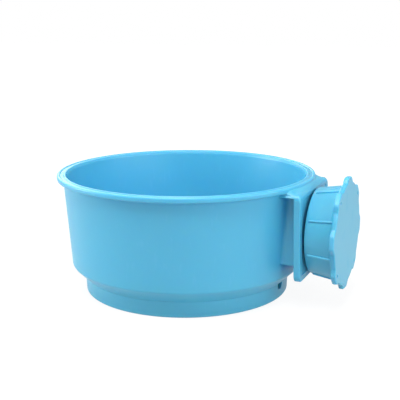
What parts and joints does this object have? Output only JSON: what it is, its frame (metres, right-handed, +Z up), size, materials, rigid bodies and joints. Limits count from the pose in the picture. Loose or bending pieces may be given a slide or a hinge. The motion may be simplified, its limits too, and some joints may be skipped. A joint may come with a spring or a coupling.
{
  "type": "heated hanging pet bowl",
  "caption": "Round heated food and water bowl for pets that hangs on cage wires by a plate and a screw knob, with a low-voltage inlet in its base.",
  "frame": {"origin": "on the bowl's axis, on the plane that the base stands on", "axes": "+X from the bowl to the clamp plate and knob, +Z up"},
  "size_m": [0.1833, 0.16, 0.0768],
  "materials": {
    "blue_plastic": "satin moulded polypropylene",
    "steel": "plated",
    "brass": "bright",
    "aluminium": "mill",
    "rubber": "matt silicone",
    "black_plastic": "matt phenolic",
    "mica": "matt mica paper",
    "felt": "glass felt",
    "foil": "etched resistance foil",
    "red_sleeve": "satin silicone sleeve",
    "black_sleeve": "satin silicone sleeve"
  },
  "bodies": {
    "bowl": {"bowl_body": "blue_plastic", "clamp_stud": "blue_plastic", "base_cover": "blue_plastic", "cover_gasket": "rubber", "cover_screw_1": "steel", "cover_screw_2": "steel", "cover_screw_3": "steel", "cover_screw_4": "steel", "spreader_plate": "aluminium", "heater_sheet_upper": "mica", "heater_track": "foil", "heater_sheet_lower": "mica", "insulation_pad": "felt", "retainer_plate": "steel", "retainer_screw_1": "steel", "retainer_screw_2": "steel", "retainer_screw_3": "steel", "heater_pin_1": "brass", "heater_pin_2": "brass", "thermostat_cap": "aluminium", "thermostat_body": "black_plastic", "thermostat_tab_1": "brass", "thermostat_tab_2": "brass", "thermal_fuse": "steel", "fuse_clip": "steel", "inlet_socket": "black_plastic", "inlet_pin": "brass", "inlet_spring": "brass", "inlet_seal": "rubber", "lead_inlet_to_fuse": "red_sleeve", "lead_fuse_to_thermostat": "red_sleeve", "lead_thermostat_to_heater": "red_sleeve", "lead_heater_to_inlet": "black_sleeve"},
    "washer": {"clamp_washer": "blue_plastic"},
    "knob": {"clamp_knob": "blue_plastic"}
  },
  "joints": [
    {"name": "knob_travel", "type": "slide", "parent": "bowl", "child": "washer", "axis": [1, 0, 0], "range_m": [-0.0011, 0.0092]},
    {"name": "knob_turn", "type": "hinge", "parent": "washer", "child": "knob", "pos_m": [0.0839, 0, 0.0435], "axis": [1, 0, 0], "range_deg": [-95, 810]}
  ],
  "couplings": [
    {"joint": "knob_travel", "follows": "knob_turn", "m_per_rad": 0.00063662}
  ]
}
